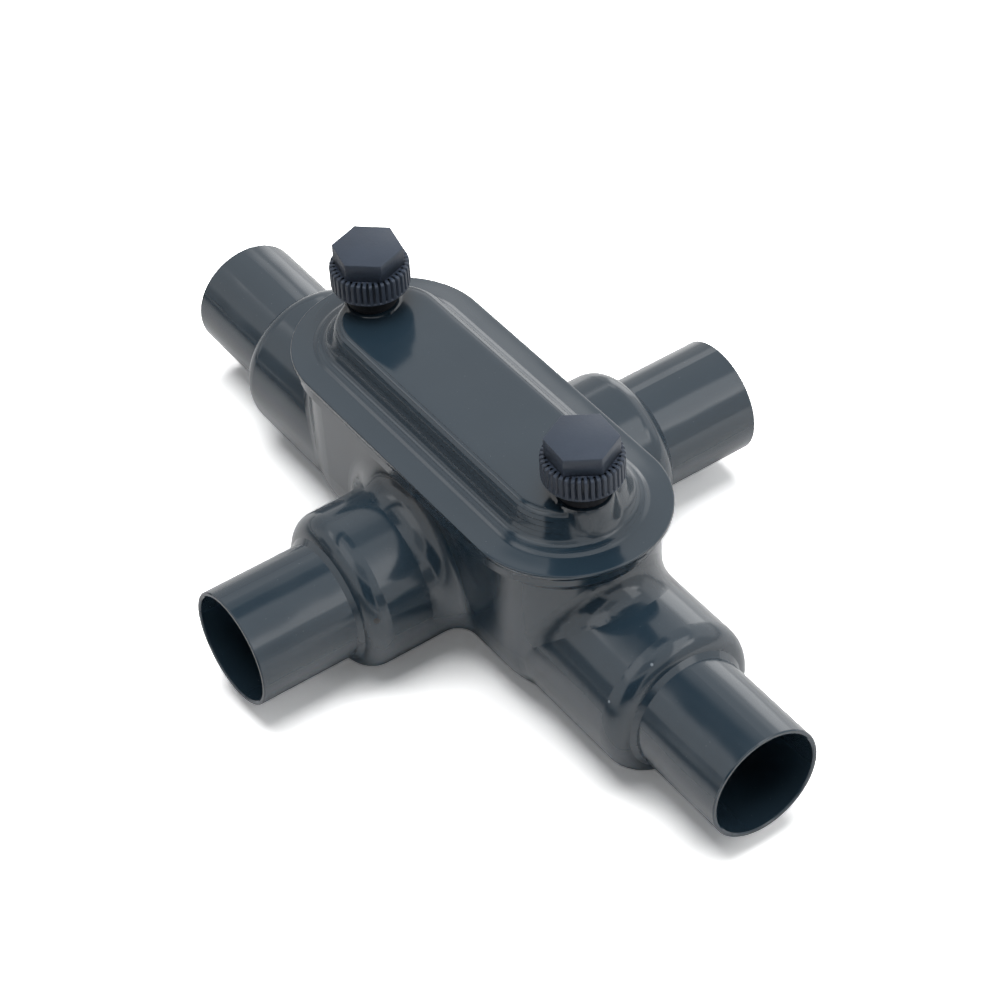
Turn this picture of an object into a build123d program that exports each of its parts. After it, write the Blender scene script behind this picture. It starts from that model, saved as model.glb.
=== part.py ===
from build123d import *
import os
from math import atan2, pi, sqrt, tan

# Reach of the sleeves and hubs from the crossing of the hub axes
reach_x = 93.7              # sleeve mouths on the long axis
reach_y = 62.2              # sleeve mouths on the short axis
hub_face_x = 68.0           # iron hub faces on the long axis
hub_face_y = 38.0           # iron hub faces on the short axis

# Iron casting
trough_half_length = 48.5
trough_half_width = 17.6
wall = 3.2
back_depth = 17.0           # flat of the back below the hub axes
rim_height = 25.7           # sealing face above the hub axes
rim_lip_end = 1.0           # how far the rim stands out past the round ends
rim_lip_side = 2.3          # and past the long walls
rim_thickness = 1.2
rim_undercut = 2.0          # slope under the rim
hub_radius = 16.3
hub_chamfer = 2.35          # at the end of a hub, under the coat
thread_radius = 9.15        # half-inch taper pipe thread, left plain at its minor radius
thread_depth = 19.0
thread_entry = 0.8          # chamfer at the mouth of the thread
throat_radius = 7.9         # integral bushing, as wide as the conduit inside
throat_chamfer = 1.0

# Lugs for the cover screws, in the ends of the trough
screw_inset = 15.0          # from the round end of the cover
lug_radius = 5.2
lug_height = 12.5
lug_slope = 4.0             # how far the foot of a lug falls towards the end wall

# Plastic coat and its sleeves
coat = 1.0
hub_blend = 6.0             # inside radius where a hub grows out of the trough; the coat fills the corner
hub_shoulder = 5.0          # rounding of the coat over the end of a hub
sleeve_radius = 12.7
sleeve_wall = 1.0
sleeve_root = 0.8           # slope where a sleeve leaves the shoulder
mouth_chamfer = 0.25

# Gasket
gasket_thickness = 0.8
gasket_inset = 2.2          # from the edge of the cover

# Pressed cover
cover_overhang = 3.7        # past the walls of the trough, all round
cover_sheet = 1.2
edge_chamfer = 0.4
step_end_inset = 5.0        # foot of the low step, from the round end
step_side_inset = 4.4       # foot of the low step, from the long edge
step_run = 0.4
step_rise = 0.7
bead_end_run = 1.9          # nearly flat band between the low step and the dome
bead_side_run = 0.8
bead_rise = 0.5
dome_end_run = 5.3
dome_side_run = 5.2
dome_rise = 5.7
dome_curve = ((0.14, 0.035), (0.25, 0.14), (0.63, 0.8), (0.76, 0.93), (0.89, 0.985), (1.0, 1.0))  # of run, rise
seat_radius = 6.1           # round seat under each seal bush
seat_rise = 0.35            # above the flat top of the dome
seat_flare = ((-0.6, 0.0), (-0.2, 0.02), (0.05, 0.07), (0.1, 0.3), (0.5, 0.6), (1.3, 1.0))  # radius past it, fall
screw_hole_fit = 0.4        # radial, between a screw and the cover

# Cover screws, number ten
screw_radius = 2.41
screw_run_fit = 0.06        # radial, between a screw and the lug or bush that guides it
screw_engagement = 11.0     # length in the lug
screw_tip = 0.6             # chamfer at the end
steel_head_across = 9.5
steel_head_height = 3.4
steel_head_cover = 1.2      # moulding under the steel head

# Seal bushes and moulded heads
bush_radius = 5.3
bush_height = 4.65
bush_chamfer = 0.4
skirt_radius = 8.35
skirt_height = 5.25
skirt_shoulder = 0.35       # slope at the top of the ribs
skirt_lead_in = 0.3
rib_count = 40
rib_depth = 0.65
groove_share = 0.4          # of each pitch
rib_margin = 0.5            # plain band under the grooves
hex_across = 13.0
hex_height = 4.2
hex_chamfer = 0.2
head_turns = {"right": 55.2, "left": 47.7}      # where each hexagon stopped, in degrees

# Cover and screws, as the trough places them
cover_half_length = trough_half_length + cover_overhang
cover_half_width = trough_half_width + cover_overhang
screw_place = cover_half_length - screw_inset

# Levels, from the flat of the coated back up
axis_height = back_depth + coat
rim_level = axis_height + rim_height
cover_level = rim_level + gasket_thickness
flange_level = cover_level + cover_sheet
plateau_level = flange_level + step_rise + bead_rise + dome_rise
seat_level = plateau_level + seat_rise
skirt_level = seat_level + bush_height
hex_level = skirt_level + skirt_height
head_level = hex_level + hex_height

SIDES = {"right": 1, "left": -1}
MATCH = 0.01                # how closely an edge has to lie where it is looked for


def obround(half_length, half_width, level):
    """Flat obround centred on the body at a level."""
    return Plane.XY.offset(level) * SlotOverall(2 * half_length, 2 * half_width)


def obround_prism(half_length, half_width, bottom, top):
    """Straight obround block between two levels."""
    return extrude(obround(half_length, half_width, bottom), amount=top - bottom)


def obround_slope(lower, upper):
    """Sloped block between two obrounds, each a half length, a half width and a level."""
    return loft([obround(*lower), obround(*upper)], ruled=True)


def upright(radius, bottom, top):
    """Round block standing on a level."""
    block = Cylinder(radius, top - bottom, align=(Align.CENTER, Align.CENTER, Align.MIN))
    return Pos(0, 0, bottom) * block


def turned(outline, along, side=1):
    """Solid turned about a hub axis from an outline of (distance out, radius)."""
    out = Vector(side, 0, 0) if along == "X" else Vector(0, side, 0)
    centre = Vector(0, 0, axis_height)
    plane = Plane(origin=centre, x_dir=out, z_dir=out.cross(Vector(0, 0, 1)))
    return revolve(plane * make_face(outline), axis=Axis(centre, out))


def trough_form(half_length, half_width, top):
    """Obround walls down to the hub axes and a round bottom under them."""
    straight = half_length - half_width
    walls = obround_prism(half_length, half_width, axis_height, top)
    section = Plane.YZ.offset(-straight) * Pos(0, axis_height)
    lower_half = Pos(0, -half_width) * Rectangle(4 * half_width, 2 * half_width)
    barrel = extrude(section * (Circle(half_width) & lower_half), amount=2 * straight)
    to_top = (Align.CENTER, Align.CENTER, Align.MAX)
    bowl = Sphere(half_width, arc_size1=-90, arc_size2=0, align=to_top)
    ends = [Pos(side * straight, 0, axis_height) * bowl for side in SIDES.values()]
    return walls + barrel + ends


def hub_barrels(radius, face_x, face_y):
    """The two round barrels that run through the body, one on each axis."""
    along_x = Pos(0, 0, axis_height) * Rot(0, 90, 0) * Cylinder(radius, 2 * face_x)
    along_y = Pos(0, 0, axis_height) * Rot(90, 0, 0) * Cylinder(radius, 2 * face_y)
    return along_x + along_y


def lies_round(edge, radius, along):
    """True for an edge that keeps this distance from a hub axis."""
    for share in (0.1, 0.35, 0.6, 0.9):
        place = edge.position_at(share)
        across = place.Y if along == "X" else place.X
        if abs(sqrt(across ** 2 + (place.Z - axis_height) ** 2) - radius) > MATCH:
            return False
    return True


def hub_edges(form, radius, along, nearest, farthest):
    """Edges round a hub between two distances from the middle."""
    found = []
    for edge in form.edges():
        box = edge.bounding_box()
        low, high = (box.min.X, box.max.X) if along == "X" else (box.min.Y, box.max.Y)
        inner, outer = sorted((abs(low), abs(high)))
        within = nearest - MATCH < inner and outer < farthest + MATCH
        if low * high > 0 and within and lies_round(edge, radius, along):
            found.append(edge)
    return found


def rim_form(grow):
    """Lip round the top of the trough, sloped underneath."""
    wall_size = (trough_half_length + grow, trough_half_width + grow)
    lip_size = (wall_size[0] + rim_lip_end, wall_size[1] + rim_lip_side)
    lip_bottom = rim_level - rim_thickness - grow
    band = obround_prism(*lip_size, lip_bottom, rim_level)
    slope = obround_slope((*wall_size, lip_bottom - rim_undercut), (*lip_size, lip_bottom))
    return band + slope


def body_form(grow):
    """Trough, hubs and rim of the casting, or of its coat when grown by the coat's thickness."""
    form = trough_form(trough_half_length + grow, trough_half_width + grow, rim_level)
    return form + hub_barrels(hub_radius + grow, hub_face_x + grow, hub_face_y + grow)


def standing(form, grow):
    """Form with its foot cut flat and the rim put on."""
    above = (Align.CENTER, Align.CENTER, Align.MIN)
    half_space = Pos(0, 0, coat - grow) * Box(4 * reach_x, 4 * reach_y, 2 * rim_level, align=above)
    return (form & half_space) + rim_form(grow)


def iron_form():
    """Outside of the casting."""
    form = body_form(0)
    for along, face in (("X", hub_face_x), ("Y", hub_face_y)):
        form = chamfer(hub_edges(form, hub_radius, along, face, face), hub_chamfer)
    return standing(form, 0)


def coat_form():
    """Outside of the coat, with soft corners and shoulders."""
    form = body_form(coat)
    radius = hub_radius + coat
    for along, face in (("X", hub_face_x + coat), ("Y", hub_face_y + coat)):
        form = fillet(hub_edges(form, radius, along, 0, face - hub_shoulder), hub_blend)
        form = fillet(hub_edges(form, radius, along, face, face), hub_shoulder)
    return standing(form, coat)


def hub_bore(face):
    """Outline of a tapped bore with the chamfered throat behind it."""
    stop = face - thread_depth
    past = face + thread_entry
    return Polyline(
        (0, 0),
        (0, throat_radius),
        (stop - throat_chamfer, throat_radius),
        (stop, throat_radius + throat_chamfer),
        (stop, thread_radius),
        (face - thread_entry, thread_radius),
        (past, thread_radius + 2 * thread_entry),
        (past, 0),
        close=True,
    )


def screw_lug(side):
    """Lug for one cover screw, running back into the end wall over a sloped foot."""
    outer = trough_half_length - wall / 2
    foot = rim_level - lug_height
    back = Rectangle(outer - screw_place, 2 * lug_radius, align=(Align.MIN, Align.CENTER))
    plan = Pos(screw_place, 0) * (Circle(lug_radius) + back)
    block = extrude(Plane.XY.offset(foot - lug_slope) * plan, amount=lug_height + lug_slope)
    inner = screw_place - 2 * lug_radius
    below = Polyline((inner, foot), (outer, foot - lug_slope), (inner, foot - lug_slope), close=True)
    cut = extrude(Plane.XZ * make_face(below), amount=2 * lug_radius, both=True)
    return (block - cut).rotate(Axis.Z, 0 if side > 0 else 180)


def body_casting():
    """Iron tub with four tapped hubs and a lug at each end for the cover screws."""
    casting = iron_form()
    casting -= trough_form(trough_half_length - wall, trough_half_width - wall, rim_level)
    for side in SIDES.values():
        casting += screw_lug(side)
    for side in SIDES.values():
        casting -= turned(hub_bore(hub_face_x), "X", side)
        casting -= turned(hub_bore(hub_face_y), "Y", side)
        hole = upright(screw_radius + screw_run_fit, rim_level - 2 * lug_height, cover_level)
        casting -= Pos(side * screw_place, 0) * hole
    return casting


def sleeve_outline(face, mouth):
    """Outline of a solid sleeve with its sloped root and the outside of its mouth chamfered."""
    root = face + coat + sleeve_root
    return Polyline(
        (face, 0),
        (face, sleeve_radius + coat + sleeve_root),
        (root, sleeve_radius),
        (mouth - mouth_chamfer, sleeve_radius),
        (mouth, sleeve_radius - mouth_chamfer),
        (mouth, 0),
        close=True,
    )


def sleeve_bore(face, mouth):
    """Outline of the space in a sleeve, wider at the mouth."""
    inside = sleeve_radius - sleeve_wall
    return Polyline(
        (face, 0),
        (face, inside),
        (mouth - mouth_chamfer, inside),
        (mouth, inside + mouth_chamfer),
        (mouth, 0),
        close=True,
    )


def pvc_jacket():
    """Coat over the whole casting, with a thin sleeve past each hub."""
    ends = (("X", hub_face_x, reach_x), ("Y", hub_face_y, reach_y))
    jacket = coat_form()
    for along, face, mouth in ends:
        for side in SIDES.values():
            jacket += turned(sleeve_outline(face, mouth), along, side)
    jacket -= iron_form()
    for along, face, mouth in ends:
        for side in SIDES.values():
            jacket -= turned(sleeve_bore(face, mouth), along, side)
    return jacket


def cover_gasket():
    """Flat ring that seals the cover to the rim."""
    outer = (cover_half_length - gasket_inset, cover_half_width - gasket_inset)
    inner = (trough_half_length - wall, trough_half_width - wall)
    ring = obround_prism(*outer, rim_level, cover_level)
    return ring - obround_prism(*inner, rim_level, cover_level)


def seat_outline(inset, level):
    """Outline of a round seat that ends above the dome, with its flared foot, as (radius, level)."""
    top = level + seat_rise
    whole = dome_rise + seat_rise
    profile = [(seat_radius - inset + past, top - fall * whole) for past, fall in seat_flare]
    return Polyline((0, top), *profile, (0, level - dome_rise), close=True)


def pressing(inset, drop):
    """Raised middle of the cover: a low step, a narrow band, a dome and two round seats."""
    rings = [(step_run, step_run, step_rise), (bead_end_run, bead_side_run, bead_rise)]
    before = (0, 0)
    for run, rise in dome_curve:
        part, height = run - before[0], (rise - before[1]) * dome_rise
        rings.append((part * dome_end_run, part * dome_side_run, height))
        before = (run, rise)
    length = cover_half_length - step_end_inset - inset
    width = cover_half_width - step_side_inset - inset
    level = flange_level - drop
    raised = Part()
    for end_run, side_run, height in rings:
        lower = (length, width, level)
        length -= end_run
        width -= side_run
        level += height
        raised += obround_slope(lower, (length, width, level))
    seat = revolve(Plane.XZ * make_face(seat_outline(inset, level)), axis=Axis.Z)
    for side in SIDES.values():
        raised += Pos(side * screw_place, 0) * seat
    return raised


def cover():
    """Pressed cover with a flat flange and a hole at each end for its screw."""
    slope = atan2(dome_rise, dome_side_run)
    blank = obround_prism(cover_half_length, cover_half_width, cover_level, flange_level)
    blank = chamfer(blank.edges().group_by(Axis.Z)[-1], edge_chamfer)
    plate = blank + pressing(0, 0)
    plate -= pressing(cover_sheet * tan(slope / 2), cover_sheet)
    for side in SIDES.values():
        hole = upright(screw_radius + screw_hole_fit, cover_level, skirt_level)
        plate -= Pos(side * screw_place, 0) * hole
    return plate


def cover_screw(side, turn):
    """Steel screw with the small hexagon head that the moulded head grips."""
    tip = rim_level - screw_engagement
    seat = skirt_level + steel_head_cover
    shank = chamfer(upright(screw_radius, tip, seat).edges().group_by(Axis.Z)[0], screw_tip)
    head = RegularPolygon(steel_head_across / 2, 6, major_radius=False, rotation=turn)
    screw = shank + extrude(Plane.XY.offset(seat) * head, amount=steel_head_height)
    return Pos(side * screw_place, 0) * screw


def ribbed_skirt():
    """Round skirt with a ring of upright grooves that run out at its shoulder."""
    skirt = upright(skirt_radius, skirt_level, hex_level)
    skirt = chamfer(skirt.edges().group_by(Axis.Z)[-1], skirt_shoulder)
    skirt = chamfer(skirt.edges().group_by(Axis.Z)[0], skirt_lead_in)
    pitch = 2 * skirt_radius * tan(pi / rib_count)
    groove = Rectangle(2 * rib_depth, groove_share * pitch)
    grooves = Sketch() + [place * groove for place in PolarLocations(skirt_radius, rib_count)]
    bottom = skirt_level + rib_margin
    return skirt - extrude(Plane.XY.offset(bottom) * grooves, amount=hex_level - bottom)


def screw_cap(side, turn):
    """Moulded head: a ribbed skirt with a hexagon on it, round the steel head."""
    outline = RegularPolygon(hex_across / 2, 6, major_radius=False, rotation=turn)
    block = extrude(Plane.XY.offset(hex_level) * outline, amount=hex_height)
    block = chamfer(block.edges().group_by(Axis.Z)[-1], hex_chamfer)
    head = Pos(side * screw_place, 0) * (ribbed_skirt() + block)
    return head - cover_screw(side, turn)


def seal_bush(side):
    """Rubber bush that seals a screw between its head and the cover."""
    bush = upright(bush_radius, seat_level, skirt_level)
    bush = chamfer(bush.edges().group_by(Axis.Z)[0], bush_chamfer)
    bush -= upright(screw_radius + screw_run_fit, seat_level, skirt_level)
    return Pos(side * screw_place, 0) * bush


def all_pieces():
    """Every piece of the object by its name."""
    pieces = {
        "body_casting": body_casting(),
        "pvc_jacket": pvc_jacket(),
        "cover_gasket": cover_gasket(),
        "cover": cover(),
    }
    for name, side in SIDES.items():
        turn = head_turns[name]
        pieces["cover_screw_" + name] = cover_screw(side, turn)
        pieces["screw_cap_" + name] = screw_cap(side, turn)
        pieces["seal_bush_" + name] = seal_bush(side)
    return pieces


os.makedirs("parts", exist_ok=True)
for name, piece in all_pieces().items():
    export_step(piece, "parts/" + name + ".step")
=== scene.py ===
import functools
import math

import bmesh
import bpy
from mathutils import Matrix, Vector


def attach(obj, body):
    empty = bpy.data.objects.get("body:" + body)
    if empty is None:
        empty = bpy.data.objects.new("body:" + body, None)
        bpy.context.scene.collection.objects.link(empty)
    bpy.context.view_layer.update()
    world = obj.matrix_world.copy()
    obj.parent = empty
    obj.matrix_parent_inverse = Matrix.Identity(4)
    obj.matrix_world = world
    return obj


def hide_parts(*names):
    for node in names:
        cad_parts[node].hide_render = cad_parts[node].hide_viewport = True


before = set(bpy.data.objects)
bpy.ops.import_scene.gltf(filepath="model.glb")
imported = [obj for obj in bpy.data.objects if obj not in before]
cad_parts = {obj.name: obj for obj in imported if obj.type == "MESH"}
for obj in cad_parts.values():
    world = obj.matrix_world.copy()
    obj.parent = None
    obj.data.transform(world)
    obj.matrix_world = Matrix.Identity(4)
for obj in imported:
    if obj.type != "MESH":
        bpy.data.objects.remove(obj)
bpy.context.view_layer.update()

MM = 0.001
WHITE = (1, 1, 1, 1)


# Shading

class Wire:
    """An output socket of a node, with the usual arithmetic."""

    def __init__(self, shading, socket):
        self.shading = shading
        self.socket = socket

    def maths(self, operation, *terms):
        return self.shading.add("ShaderNodeMath", {"operation": operation}, dict(enumerate(terms)))

    def __add__(self, other):
        return self.maths("ADD", self, other)

    def __radd__(self, other):
        return self.maths("ADD", other, self)

    def __sub__(self, other):
        return self.maths("SUBTRACT", self, other)

    def __rsub__(self, other):
        return self.maths("SUBTRACT", other, self)

    def __mul__(self, other):
        return self.maths("MULTIPLY", self, other)

    def __rmul__(self, other):
        return self.maths("MULTIPLY", other, self)

    def absolute(self):
        return self.maths("ABSOLUTE", self)

    def larger(self, other):
        return self.maths("MAXIMUM", self, other)

    def clamped(self, low, high):
        """0 below low, 1 above high and a soft rise between them."""
        inputs = {"Value": self, "From Min": low, "From Max": high}
        settings = {"interpolation_type": "SMOOTHSTEP", "clamp": True}
        return self.shading.add("ShaderNodeMapRange", settings, inputs)


class Shading:
    """The nodes of a material or of the world."""

    def __init__(self, owner, output):
        owner.use_nodes = True
        self.tree = owner.node_tree
        self.tree.nodes.clear()
        self.output = self.tree.nodes.new(output)

    def add(self, kind, settings, inputs, output=0):
        """A node of this type with its settings and its inputs' values or links."""
        node = self.tree.nodes.new(kind)
        for name, value in settings.items():
            setattr(node, name, value)
        for name, value in inputs.items():
            if isinstance(value, Wire):
                self.tree.links.new(value.socket, node.inputs[name])
            else:
                node.inputs[name].default_value = value
        return Wire(self, node.outputs[output])

    def show(self, shader):
        """Put a shader on the output."""
        self.tree.links.new(shader.socket, self.output.inputs["Surface"])


class Finish(Shading):
    """A material with its patterns on Object coordinates."""

    def __init__(self, name):
        self.material = bpy.data.materials.new(name)
        super().__init__(self.material, "ShaderNodeOutputMaterial")
        self.place = self.add("ShaderNodeTexCoord", {}, {}, "Object")

    def noise(self, scale, detail, roughness):
        inputs = {"Vector": self.place, "Scale": scale, "Detail": detail, "Roughness": roughness}
        return self.add("ShaderNodeTexNoise", {}, inputs)

    def mix(self, share, low, high):
        """Colour between two others."""
        factor, low_colour, high_colour, mixed_colour = 0, 6, 7, 2
        inputs = {factor: share, low_colour: low, high_colour: high}
        return self.add("ShaderNodeMix", {"data_type": "RGBA"}, inputs, mixed_colour)

    def distance(self, point):
        """Distance from a point of the part, in metres."""
        inputs = {0: self.place, 1: point}
        return self.add("ShaderNodeVectorMath", {"operation": "DISTANCE"}, inputs, "Value")

    def part_of(self, axis):
        return self.add("ShaderNodeSeparateXYZ", {}, {0: self.place}, axis)

    def bump(self, height, depth):
        """Surface relief of this depth in metres."""
        return self.add("ShaderNodeBump", {}, {"Height": height, "Distance": depth, "Strength": 1.0})

    def glow(self, strength):
        return self.add("ShaderNodeEmission", {}, {"Color": WHITE, "Strength": strength})

    def shade(self, **inputs):
        """The finished material, with a Principled shader on its output."""
        inputs = {name.replace("_", " "): value for name, value in inputs.items()}
        self.show(self.add("ShaderNodeBsdfPrincipled", {}, inputs))
        return self.material


# Finishes

# The smaller spots are light scuffs; the larger ones are painted shade, near-black where a small notch in
# the coat would hold shade.
SPECK, NOTCH_SHADE = 0.4 * MM, 0.9 * MM        # how far the small marks on the coat reach


def near(finish, points, reach):
    """Mask of small round spots at some points of the part."""
    spots = [1 - finish.distance(point).clamped(reach * 0.4, reach) for point in points]
    return functools.reduce(Wire.larger, spots)


def vinyl_coat(name, notch_shades, specks=()):
    """Glossy slate coat with long ripples in its skin, some dust, small light scuffs, and near-black spots
    of painted shade where small notches would hold shade.
    """
    slate, pale_slate = (0.0155, 0.0300, 0.0450, 1), (0.0215, 0.0400, 0.0580, 1)
    dust_grey = (0.30, 0.34, 0.38, 1)
    # The near-black mark colour is painted shade, standing in for the shade inside a small notch.
    speck_grey, painted_notch_shade = (0.20, 0.24, 0.28, 1), (0.003, 0.004, 0.005, 1)
    coat = Finish(name)
    ripple = coat.noise(62, detail=1.0, roughness=0.4)
    peel = coat.noise(650, detail=2.0, roughness=0.5)
    mottle = coat.noise(38, detail=3.0, roughness=0.6)
    smear = coat.noise(95, detail=4.0, roughness=0.65)
    dust = coat.noise(2600, detail=1.0, roughness=0.5).clamped(0.78, 0.82)
    colour = coat.mix(mottle, slate, pale_slate)
    colour = coat.mix(dust * 0.25, colour, dust_grey)
    # Light scuffs, then near-black spots of painted shade for small notches.
    for points, reach, mark in ((specks, SPECK, speck_grey), (notch_shades, NOTCH_SHADE, painted_notch_shade)):
        if points:
            colour = coat.mix(near(coat, points, reach), colour, mark)
    return coat.shade(Base_Color=colour, Roughness=smear * 0.10 + 0.08, IOR=1.7,
                      Normal=coat.bump(ripple + peel * 0.012, 0.22 * MM))


def moulded_head():
    """Satin plastic of the screw heads."""
    slate, pale_slate = (0.028, 0.039, 0.059, 1), (0.042, 0.056, 0.083, 1)
    head = Finish("moulded_head")
    grain = head.noise(1900, detail=3.0, roughness=0.6)
    patch = head.noise(240, detail=3.0, roughness=0.6)
    return head.shade(Base_Color=head.mix(patch, slate, pale_slate), Roughness=patch * 0.18 + 0.36,
                      Normal=head.bump(grain + patch * 2.0, 0.03 * MM))


def black_rubber():
    """Dull rubber of the gasket and the seal bushes."""
    black, worn_black = (0.007, 0.008, 0.010, 1), (0.020, 0.021, 0.025, 1)
    rubber = Finish("black_rubber")
    grain = rubber.noise(1500, detail=3.0, roughness=0.6)
    return rubber.shade(Base_Color=rubber.mix(grain, black, worn_black), Roughness=grain * 0.2 + 0.42,
                        IOR=1.25, Normal=rubber.bump(grain, 0.02 * MM))


def cast_iron():
    """As-cast grey iron with sand grain."""
    dark_iron, pale_iron = (0.10, 0.098, 0.094, 1), (0.19, 0.185, 0.175, 1)
    iron = Finish("cast_iron")
    sand = iron.noise(900, detail=4.0, roughness=0.65)
    lumps = iron.noise(160, detail=3.0, roughness=0.55)
    return iron.shade(Base_Color=iron.mix(lumps, dark_iron, pale_iron), Metallic=0.75,
                      Roughness=sand * 0.25 + 0.48, Normal=iron.bump(sand + lumps * 2.0, 0.10 * MM))


def bright_steel():
    """Rubbed steel of the screws."""
    dull_steel, clean_steel = (0.44, 0.44, 0.43, 1), (0.62, 0.62, 0.61, 1)
    steel = Finish("bright_steel")
    rub = steel.noise(700, detail=3.0, roughness=0.6)
    return steel.shade(Base_Color=steel.mix(rub, dull_steel, clean_steel), Metallic=1.0,
                       Roughness=rub * 0.2 + 0.22, Normal=steel.bump(rub, 0.01 * MM))


# Objects

def put_in_scene(name, data):
    item = bpy.data.objects.new(name, data)
    bpy.context.scene.collection.objects.link(item)
    return item


def made_object(name, shape, material):
    """Object from a finished bmesh."""
    mesh = bpy.data.meshes.new(name)
    shape.to_mesh(mesh)
    shape.free()
    mesh.materials.append(material)
    return put_in_scene(name, mesh)


def piece(name, shape, material, body, *nodes):
    """Smooth object that rides on a body and stands for some CAD nodes."""
    item = made_object(name, shape, material)
    item.data.shade_smooth()
    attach(item, body)
    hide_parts(*nodes)


# Shapes, with their measures in millimetres

def metres(*point):
    return Vector(point) * MM


def ring(shape, segments, radius, level):
    """Start a shape with a flat circle about the vertical axis; gives its edges."""
    bmesh.ops.create_circle(shape, segments=segments, radius=radius * MM)
    bmesh.ops.translate(shape, verts=shape.verts, vec=metres(0, 0, level))
    return list(shape.edges)


def grown(shape, edges, move, *where):
    """Extrude a ring of edges and move each new vertex to its place; gives the new edges."""
    made = bmesh.ops.extrude_edge_only(shape, edges=edges)["geom"]
    for vert in made:
        if isinstance(vert, bmesh.types.BMVert):
            move(vert, *where)
    return [edge for edge in made if isinstance(edge, bmesh.types.BMEdge)]


def to_circle(vert, radius, level):
    """Move a vertex out or in to a circle about the vertical axis."""
    vert.co.xy = vert.co.xy.normalized() * radius * MM
    vert.co.z = level * MM


def span(first, second):
    """Length between two points of a path, from their mean inset and their level."""
    gap = first - second
    return math.hypot((gap.x + gap.y) / 2, gap.z)


def soft_path(points, softness, steps=4):
    """Path through points with its inner corners rounded off and a support point beside each rounding."""
    most, support = 0.48, 0.12
    path = [Vector(points[0])]
    for before, corner, after, reach in zip(points, points[1:], points[2:], softness):
        before, corner, after = Vector(before), Vector(corner), Vector(after)
        start = corner.lerp(before, min(most, reach / span(before, corner)))
        end = corner.lerp(after, min(most, reach / span(after, corner)))
        path.append(start.lerp(before, support))
        for step in range(steps + 1):
            share = step / steps
            path.append(start.lerp(corner, share).lerp(corner.lerp(end, share), share))
        path.append(end.lerp(after, support))
    path.append(Vector(points[-1]))
    return path


# Cover

HALF_LENGTH, HALF_WIDTH = 52.2, 21.3
UNDERSIDE, FLANGE, PLATEAU = 44.5, 45.7, 52.6   # levels of the edge's foot, the flange and the dome
THICKNESS, EDGE_FLAT = 1.2, 0.6                 # the sheet, and the flat that its cut edge stands on
OUTLINE_FACETS, SIDE_CUTS = 256, 30
NARROWEST = 0.2                                 # half width of the last ring on the dome

SCREW_PLACE = 37.2
SEAT_RADIUS, SEAT_WALL = 5.75, 2.0              # top of the seat round a screw, and its wall beyond that
SEAT_RISE, SEAT_DROP = 0.35, 7.4                # above the plateau, and down to the foot of the wall
SOFT_FROM, SOFT_TO, SOFTENINGS = 5.9, 8.6, 4    # smoothed stretch of the wall
HOLE_RADIUS, CUT_RADIUS, RIM_REACH = 2.8, 2.95, 4

# Inset at the ends, inset at the sides and level of the pressed sheet, from its edge to the top of the dome
SHEET = (
    (0.5, 0.5, 45.6), (2.4, 2.5, 45.74), (4.7, 4.9, 46.0), (5.6, 5.6, 46.45), (6.4, 6.2, 46.6),
    (7.2, 6.9, 46.85), (7.9, 7.5, 47.4), (8.5, 8.0, 48.2), (9.0, 8.5, 49.2), (9.5, 8.95, 50.25),
    (10.0, 9.4, 51.2), (10.6, 9.95, 51.95), (11.3, 10.6, 52.43), (12.2, 11.4, PLATEAU),
    (15.2, 14.4, PLATEAU),
)
SHEET_SOFTNESS = (0.7, 0.2, 0.3) + (2.0,) * 10


def with_seat(radius, level, drop):
    """Level of the pressed sheet at a distance from a screw, where a soft round seat stands out of it."""
    sharpest, softest, start = 0.05, 2.2, 5.8
    share = min(1, max(0, (radius - SEAT_RADIUS) / SEAT_WALL))
    seat = PLATEAU + SEAT_RISE - drop - SEAT_DROP * share ** 1.5 * (1.5 - share / 2)
    blend = min(softest, max(sharpest, (radius - start) * 2))
    overlap = max(0, blend - abs(level - seat))
    return max(level, seat) + overlap * overlap / blend / 4 if share < 1 else level


def cover_path(inset, drop, steps):
    """Rings of one side of the pressed sheet, from its edge to the middle of the dome."""
    rings = soft_path(SHEET, SHEET_SOFTNESS, steps)[1:-1]
    inward, middle, side_lead, pace = 14.2, 22.4, 0.8, 1.6
    while inward < middle:
        rings.append(Vector((inward, inward - side_lead, PLATEAU)))
        inward += pace / steps
    return [place + Vector((inset, inset, -drop)) for place in rings]


def to_outline(vert, old, new, level, drop):
    """Move a vertex from one round-ended outline to the next, up onto the seat where it meets one."""
    straight = (old[0] - old[1]) * MM
    middle = max(-straight, min(straight, vert.co.x))
    out = (vert.co - Vector((middle, 0, 0))) / old[1]
    vert.co = Vector(((new[0] - new[1]) * middle / (old[0] - old[1]) + out.x * new[1], out.y * new[1], 0))
    radius = Vector((abs(vert.co.x) - SCREW_PLACE * MM, vert.co.y)).length / MM
    vert.co.z = (with_seat(radius, level, drop) if level > FLANGE else level) * MM


def skin(shape, edges, path, drop):
    """Faces of one side of the cover along a path of rings, with the two seats raised out of it."""
    old = (HALF_LENGTH, HALF_WIDTH)
    for end_inset, side_inset, level in path:
        new = (HALF_LENGTH - end_inset, max(HALF_WIDTH - side_inset, NARROWEST))
        edges = grown(shape, edges, to_outline, old, new, level, drop)
        old = new
    bmesh.ops.contextual_create(shape, geom=edges)


def open_hole(shape, centre):
    """Round hole for a screw through both sides of the cover."""
    def reach(vert):
        return (vert.co.xy - centre.xy).length / MM

    inside = [face for face in shape.faces if all(reach(vert) < CUT_RADIUS for vert in face.verts)]
    bmesh.ops.delete(shape, geom=inside, context="FACES")
    rim = [edge for edge in shape.edges if edge.is_boundary and reach(edge.verts[0]) < RIM_REACH]
    for vert in {vert for edge in rim for vert in edge.verts}:
        out = (vert.co.xy - centre.xy).normalized() * HOLE_RADIUS * MM
        vert.co = Vector((centre.x + out.x, centre.y + out.y, vert.co.z))
    bmesh.ops.bridge_loops(shape, edges=rim)


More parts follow.
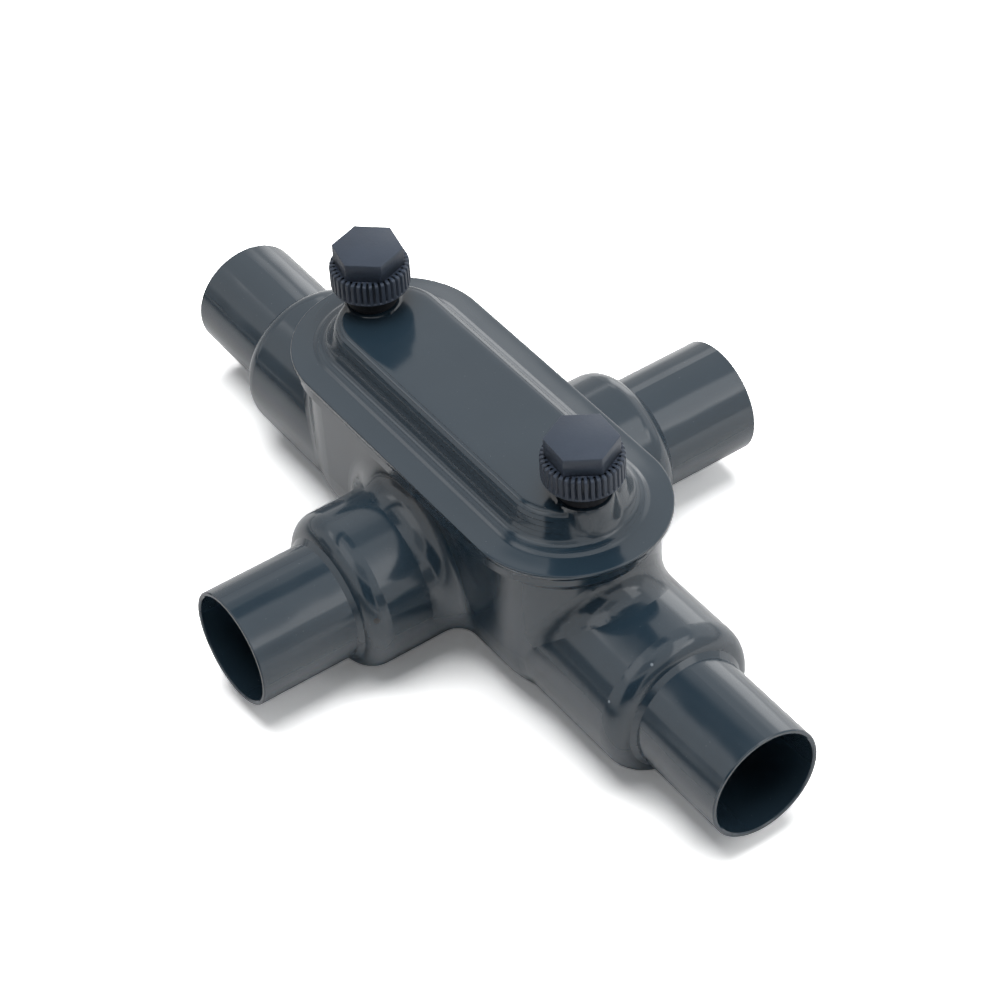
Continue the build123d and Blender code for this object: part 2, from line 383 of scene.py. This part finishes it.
def fine_cover():
    """Pressed cover with soft folds, one closed skin with two screw holes."""
    shape = bmesh.new()
    ring(shape, OUTLINE_FACETS, HALF_WIDTH, UNDERSIDE)
    bmesh.ops.rotate(shape, verts=shape.verts, matrix=Matrix.Rotation(math.pi / OUTLINE_FACETS, 3, "Z"))
    for vert in shape.verts:
        vert.co.x += math.copysign((HALF_LENGTH - HALF_WIDTH) * MM, vert.co.x)
    sides = [edge for edge in shape.edges if edge.calc_length() > HALF_WIDTH * MM]
    bmesh.ops.subdivide_edges(shape, edges=sides, cuts=SIDE_CUTS)
    edges = list(shape.edges)
    edge_path = soft_path([(0, 0, UNDERSIDE), (0, 0, FLANGE - 0.1), (2.4, 2.5, FLANGE)], (0.35,))[1:-1]
    skin(shape, edges, edge_path + cover_path(0, 0, steps=4), 0)
    foot = [Vector((EDGE_FLAT, EDGE_FLAT, UNDERSIDE))]
    skin(shape, edges, foot + cover_path(EDGE_FLAT, THICKNESS, steps=2), THICKNESS)
    for side in (1, -1):
        centre = metres(side * SCREW_PLACE, 0, 0)
        wall = [vert for vert in shape.verts if SOFT_FROM < (vert.co.xy - centre.xy).length / MM < SOFT_TO]
        for _ in range(SOFTENINGS):
            bmesh.ops.smooth_vert(shape, verts=wall, factor=0.5,
                                  use_axis_x=True, use_axis_y=True, use_axis_z=True)
        open_hole(shape, centre)
    bmesh.ops.recalc_face_normals(shape, faces=shape.faces)
    return shape


# Moulded heads and screws

SKIRT_BOTTOM, SKIRT_TOP, HEAD_TOP = 57.6, 62.85, 67.05
RIBS, RIB_FACETS = 40, 12
GROOVE_RADIUS, GROOVE_HALF, GROOVE_FLANK = 7.0, 0.25, 0.08      # floor, and widths as shares of a rib
BORE, BORE_DEPTH = 2.45, 1
ACROSS_FLATS, SUNK, SOFT_EDGE = 13, 0.1, 0.16                   # hexagon, its foot in the skirt, its edges

# Radius, level and depth of the grooves (0 to 1) for each ring of the skirt, from its bore to its top
SKIRT = (
    (BORE, SKIRT_BOTTOM, 0), (7.85, SKIRT_BOTTOM, 0), (8.10, 57.64, 0), (8.28, 57.78, 0),
    (8.35, 57.98, 0), (8.35, 58.08, 0), (8.35, 58.18, 0.35), (8.35, 58.30, 0.8), (8.35, 58.45, 1),
    (8.35, 60.3, 1), (8.35, 62.25, 1), (8.34, 62.42, 1), (8.26, 62.62, 1), (8.10, 62.78, 1),
    (7.90, 62.84, 1), (7.70, SKIRT_TOP, 1), (7.5, SKIRT_TOP, 0), (5.5, SKIRT_TOP, 0),
)

THREAD_PITCH, THREAD_ROOT, THREAD_CREST = 25.4 / 24, 1.93, 2.40
THREAD_LOW, THREAD_HIGH = 33.2, 51.5
TIP, RUNOUT = 0.5, 0.4                                          # slopes at the two ends of the thread
COLLAR_RADIUS, COLLAR_LOW, COLLAR_HIGH = 4.7, 58.8, 62.2        # steel head inside the moulding
SHANK_FACETS, THREAD_FACETS = 32, 24                            # in one turn


def to_rib(vert, radius, level, groove):
    """Move a vertex to a ring of the skirt, into a groove where it meets one."""
    pitch = math.atan2(vert.co.y, vert.co.x) / math.tau * RIBS + 0.5
    share = min(1, max(0, (GROOVE_HALF - abs(pitch % 1 - 0.5)) / GROOVE_FLANK))
    depth = max(0, radius - GROOVE_RADIUS) * groove * share ** 2 * (3 - 2 * share)
    to_circle(vert, radius - depth, level)


def moulded_cap(place, turn):
    """Head with a ribbed skirt and a softened hexagon."""
    shape = bmesh.new()
    edges = ring(shape, RIBS * RIB_FACETS, BORE, SKIRT_BOTTOM + BORE_DEPTH)
    for radius, level, groove in SKIRT:
        edges = grown(shape, edges, to_rib, radius, level, groove)
    corner = ACROSS_FLATS / math.sqrt(3) * MM
    foot = bmesh.ops.create_circle(shape, segments=6, radius=corner, cap_ends=True)["verts"]
    bmesh.ops.rotate(shape, verts=foot, matrix=Matrix.Rotation(math.radians(turn + 30), 3, "Z"))
    bmesh.ops.translate(shape, verts=foot, vec=metres(0, 0, SKIRT_TOP - SUNK))
    top = bmesh.ops.extrude_face_region(shape, geom=list(foot[0].link_faces))["geom"]
    raised = [vert for vert in top if isinstance(vert, bmesh.types.BMVert)]
    bmesh.ops.translate(shape, verts=raised, vec=metres(0, 0, HEAD_TOP - SKIRT_TOP + SUNK))
    corners = [edge for edge in shape.edges if any(vert in raised for vert in edge.verts)]
    bmesh.ops.bevel(shape, geom=corners, offset=SOFT_EDGE * MM, segments=2, profile=0.5, material=-1,
                    affect="EDGES")
    bmesh.ops.recalc_face_normals(shape, faces=shape.faces)
    bmesh.ops.translate(shape, verts=shape.verts, vec=metres(place, 0, 0))
    return shape


def threaded_screw(place):
    """Steel screw with a cut thread on its shank and a small head inside the moulding."""
    shape = bmesh.new()
    edges = ring(shape, SHANK_FACETS, THREAD_ROOT - TIP, THREAD_LOW - TIP)
    bmesh.ops.contextual_create(shape, geom=edges)
    for radius, level in (
        (THREAD_ROOT, THREAD_LOW), (THREAD_ROOT, THREAD_HIGH), (THREAD_CREST, THREAD_HIGH + RUNOUT),
        (THREAD_CREST, COLLAR_LOW), (COLLAR_RADIUS, COLLAR_LOW), (COLLAR_RADIUS, COLLAR_HIGH),
    ):
        edges = grown(shape, edges, to_circle, radius, level)
    bmesh.ops.contextual_create(shape, geom=edges)
    tooth = bmesh.ops.create_circle(shape, segments=3, radius=0.1 * MM)["verts"]
    root = THREAD_ROOT - 0.05
    for vert, radius, height in zip(tooth, (root, THREAD_CREST, root), (0, 0.5, 0.98)):
        vert.co = metres(radius, 0, THREAD_LOW + THREAD_PITCH * height - THREAD_PITCH * 0.2)
    inner = [edge for edge in tooth[0].link_edges if tooth[1] not in edge.verts]
    bmesh.ops.delete(shape, geom=inner, context="EDGES")
    turns = math.floor((THREAD_HIGH - THREAD_LOW) / THREAD_PITCH)
    bmesh.ops.spin(shape, geom=list(tooth[1].link_edges), cent=(0, 0, 0), axis=(0, 0, 1),
                   angle=math.tau * turns, steps=THREAD_FACETS * turns,
                   dvec=metres(0, 0, THREAD_PITCH / THREAD_FACETS))
    bmesh.ops.recalc_face_normals(shape, faces=shape.faces)
    bmesh.ops.translate(shape, verts=shape.verts, vec=metres(place, 0, 0))
    return shape


# Stage, with its measures in metres

PART_MIDDLE = Vector((0, 0, 0.02))


def toward(azimuth, zenith, distance=1.4):
    """Place at a distance in a direction from the part, with its angles in degrees."""
    azimuth, zenith = math.radians(azimuth), math.radians(zenith)
    flat = distance * math.sin(zenith)
    return (flat * math.cos(azimuth), flat * math.sin(azimuth), distance * math.cos(zenith))


def aimed(place):
    """Turn that faces the part from this place."""
    return (PART_MIDDLE - Vector(place)).to_track_quat("-Z", "Y").to_euler()


def flat_sheet(name, reach, material):
    """Flat square that reaches this far to each side of the origin."""
    shape = bmesh.new()
    bmesh.ops.create_grid(shape, x_segments=1, y_segments=1, size=reach)
    return made_object(name, shape, material)


def lamp(name, place, size, power):
    """Soft square lamp that lights the part; what the coat mirrors are the panels."""
    light = bpy.data.lights.new(name, "AREA")
    light.size = size
    light.energy = power
    item = put_in_scene(name, light)
    item.location = place
    item.rotation_euler = aimed(place)
    item.visible_glossy = False


def panel(name, place, size, strength, facing=True, soft=0.22):
    """Bright or dark panel with soft edges that only glossy surfaces see, facing the part or lying flat."""
    edge = 0.5
    finish = Finish(name)
    across, along = (edge - finish.part_of(axis).absolute() for axis in ("X", "Y"))
    mask = across.clamped(0, soft) * along.clamped(0, soft)
    clear = finish.add("ShaderNodeBsdfTransparent", {}, {})
    finish.show(finish.add("ShaderNodeMixShader", {}, {0: mask, 1: clear, 2: finish.glow(strength)}))
    item = flat_sheet(name, edge, finish.material)
    item.location = place
    item.scale = (*size, 1)
    if facing:
        item.rotation_euler = aimed(place)
    item.visible_camera = item.visible_diffuse = item.visible_shadow = False
    item.visible_transmission = item.visible_volume_scatter = False


def floor():
    """Pale floor that shows white, more so far from the part, and keeps the part's shadow."""
    light_grey, above_white = (0.90, 0.90, 0.90, 1), (2.0, 2.0, 2.0, 1)
    near_glow, far_glow, glow_start, glow_full = 0.08, 0.92, 0.4, 1.3
    paper = Finish("floor")
    seen = paper.add("ShaderNodeLightPath", {}, {}, "Is Camera Ray")
    far = paper.distance((0, 0, 0)).clamped(glow_start, glow_full)
    glow = paper.glow(seen * (far * far_glow + near_glow))
    matt = paper.add("ShaderNodeBsdfDiffuse", {}, {"Color": paper.mix(seen, light_grey, above_white)})
    paper.show(paper.add("ShaderNodeAddShader", {}, {0: glow, 1: matt}))
    item = flat_sheet("floor", 6, paper.material)


def surroundings():
    """World that the camera sees white and the coat mirrors a little darker, with only a dim light."""
    fill, mirrored_share = 0.13, 0.77
    world = bpy.data.worlds.new("surroundings")
    bpy.context.scene.world = world
    sky = Shading(world, "ShaderNodeOutputWorld")
    seen, mirrored = (
        sky.add("ShaderNodeLightPath", {}, {}, ray) for ray in ("Is Camera Ray", "Is Glossy Ray")
    )
    share = seen.larger(mirrored * mirrored_share)
    strength = sky.add("ShaderNodeMapRange", {}, {"Value": share, "To Min": fill, "To Max": 1.0})
    sky.show(sky.add("ShaderNodeBackground", {}, {"Color": WHITE, "Strength": strength}))


def camera():
    """Camera where the photo was taken from."""
    place = (0.395125, -0.246936, 0.460688)
    right = Vector((0.5755, 0.81623, -0.05074))
    up = Vector((-0.53933, 0.42544, 0.72672))
    back = Vector((0.61476, -0.39086, 0.68505))
    eye = bpy.data.cameras.new("eye")
    eye.sensor_width = 36
    eye.lens = 110.7417
    eye.clip_start = 0.01
    item = put_in_scene("eye", eye)
    item.matrix_world = Matrix.Translation(place) @ Matrix((right, up, back)).transposed().to_4x4()
    bpy.context.scene.camera = item


coat = vinyl_coat(
    "vinyl_coat",
    # Near-black spot of painted shade for a small notch in the coat.
    notch_shades=[(0.0157, -0.0368, 0.0228)],
    specks=[
        (0.0669, -0.0065, 0.0330), (0.0645, -0.0152, 0.0263),
        (0.0104, -0.0617, 0.0239), (0.0105, -0.0614, 0.0238),
    ],
)
# The cover's near-black spot is painted shade for a small notch.
cover_coat = vinyl_coat("cover_coat", notch_shades=[(0.0412, 0.0189, 0.0452)])
head = moulded_head()
rubber = black_rubber()
steel = bright_steel()
for node, finish in (
    ("pvc_jacket", coat),
    ("body_casting", cast_iron()),
    ("cover_gasket", rubber),
    ("seal_bush_right", rubber),
    ("seal_bush_left", rubber),
):
    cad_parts[node].material_slots[0].material = finish

piece("fine_cover", fine_cover(), cover_coat, "cover_plate", "cover")
for name, side, turn in (("right", 1, 55.2), ("left", -1, 47.7)):
    body = "screw_" + name
    piece("moulded_cap_" + name, moulded_cap(side * SCREW_PLACE, turn), head, body, "screw_cap_" + name)
    piece("threaded_screw_" + name, threaded_screw(side * SCREW_PLACE), steel, body, "cover_screw_" + name)

floor()
surroundings()
camera()
lamp("top", (0, 0, 1.1), 0.85, 12)
lamp("key", toward(40, 52, 1.1), 0.6, 2.8)
panel("bright_strip", (1.0, 0.60, 0.95), (1.6, 0.50), 1.7, facing=False, soft=0.08)
panel("bright_core", (1.05, 0.98, 0.93), (1.0, 0.7), 2.4, facing=False, soft=0.4)
panel("bright_wall", toward(95, 66), (2.0, 1.1), 1.2)
panel("bright_back", toward(127, 78), (0.7, 0.8), 2.2)
panel("bright_spot", toward(141, 57), (0.4, 0.32), 1.5)
panel("bright_side", toward(-100, 38), (1.2, 0.9), 1.25)
panel("bright_floor", (0, 0.80, 0.002), (2.4, 1.5), 1.25, facing=False, soft=0.05)
panel("dark_top", (-0.24, 0.14, 1.0), (0.62, 0.60), 0.12, facing=False, soft=0.28)
panel("dark_band", (-0.56, -0.60, 1.0), (0.2, 2.2), 0.05, facing=False)
panel("bright_corner", (-0.95, -0.65, 1.0), (0.35, 0.5), 1.5, facing=False, soft=0.1)
panel("dark_end", toward(-3, 76), (1.05, 0.52), 0.2, soft=0.2)
panel("dark_front", toward(-47, 70), (1.15, 0.95), 0.03, soft=0.15)
panel("dim_front", toward(-40, 38), (0.9, 0.6), 0.45)
panel("dim_left", toward(180, 70), (1.8, 0.9), 0.6)
# Painted shade: two dark sheets that only the coat mirrors, standing in for the part's shadow on the floor
# beside it.
panel("side_shade_mirror", toward(-128, 83), (0.55, 0.44), 0.22, soft=0.2)
panel("floor_shade_mirror", (-0.08, -0.27, 0.002), (0.6, 0.45), 0.2, facing=False)

bpy.context.scene.view_settings.view_transform = "Standard"
